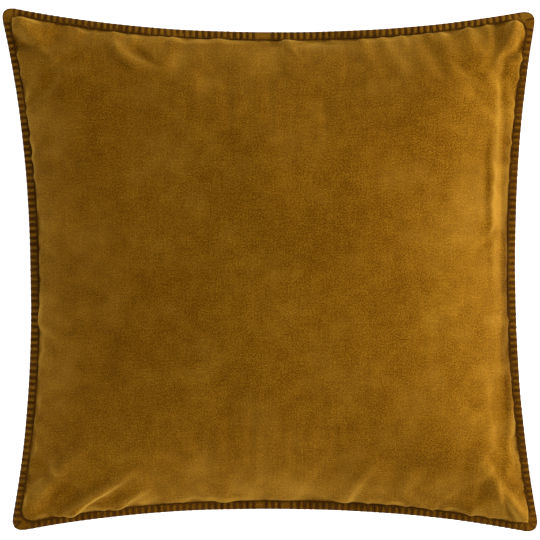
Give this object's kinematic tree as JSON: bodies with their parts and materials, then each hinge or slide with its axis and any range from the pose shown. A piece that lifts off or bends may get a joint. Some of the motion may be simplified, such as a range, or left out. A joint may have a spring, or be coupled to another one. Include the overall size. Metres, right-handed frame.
{
  "type": "throw pillow",
  "caption": "Square velvet throw pillow with a flat overlocked edge, a zip across the lower back and a fibre-filled insert.",
  "frame": {"origin": "on the ground under the middle of the pillow, which lies on its back", "axes": "+X to the pillow's right seen from the front, +Y to its top edge, +Z out of the front panel"},
  "size_m": [0.4988, 0.4878, 0.1293],
  "materials": {
    "velvet": "stone-washed cotton velvet, mustard gold",
    "edge_thread": "matt dark brown thread",
    "zip_tape": "woven tape, ochre",
    "zip_coil": "satin nylon, brown",
    "zip_metal": "aged brass, brushed",
    "casing": "plain cotton, off-white",
    "fibre": "loose polyester fibre",
    "label": "blank satin ribbon"
  },
  "bodies": {
    "pillow": {"front_panel": "velvet", "back_panel_upper": "velvet", "back_panel_lower": "velvet", "edge_front_looper_thread": "edge_thread", "edge_back_looper_thread": "edge_thread", "edge_needle_thread": "edge_thread", "zip_tape_upper": "zip_tape", "zip_tape_lower": "zip_tape", "zip_coil_upper": "zip_coil", "zip_coil_lower": "zip_coil", "zip_seam_thread_upper": "edge_thread", "zip_seam_thread_lower": "edge_thread", "zip_top_stop_upper": "zip_metal", "zip_top_stop_lower": "zip_metal", "zip_bottom_stop": "zip_metal", "zip_end_tack_left": "edge_thread", "zip_end_tack_right": "edge_thread", "care_label": "label", "insert_casing_front": "casing", "insert_casing_back": "casing", "insert_seam_thread": "casing", "insert_fill": "fibre", "insert_label": "label"},
    "slider": {"zip_slider": "zip_metal"},
    "pull_tab": {"zip_pull_tab": "zip_metal"}
  },
  "joints": [
    {"name": "zip_slide", "type": "slide", "parent": "pillow", "child": "slider", "axis": [-1, 0, 0], "range_m": [0, 0.3099]},
    {"name": "pull_swing", "type": "hinge", "parent": "slider", "child": "pull_tab", "pos_m": [0.15495, -0.18116, 0.02974], "axis": [0, 0.9272, -0.3746], "range_deg": [-88, 88]}
  ]
}
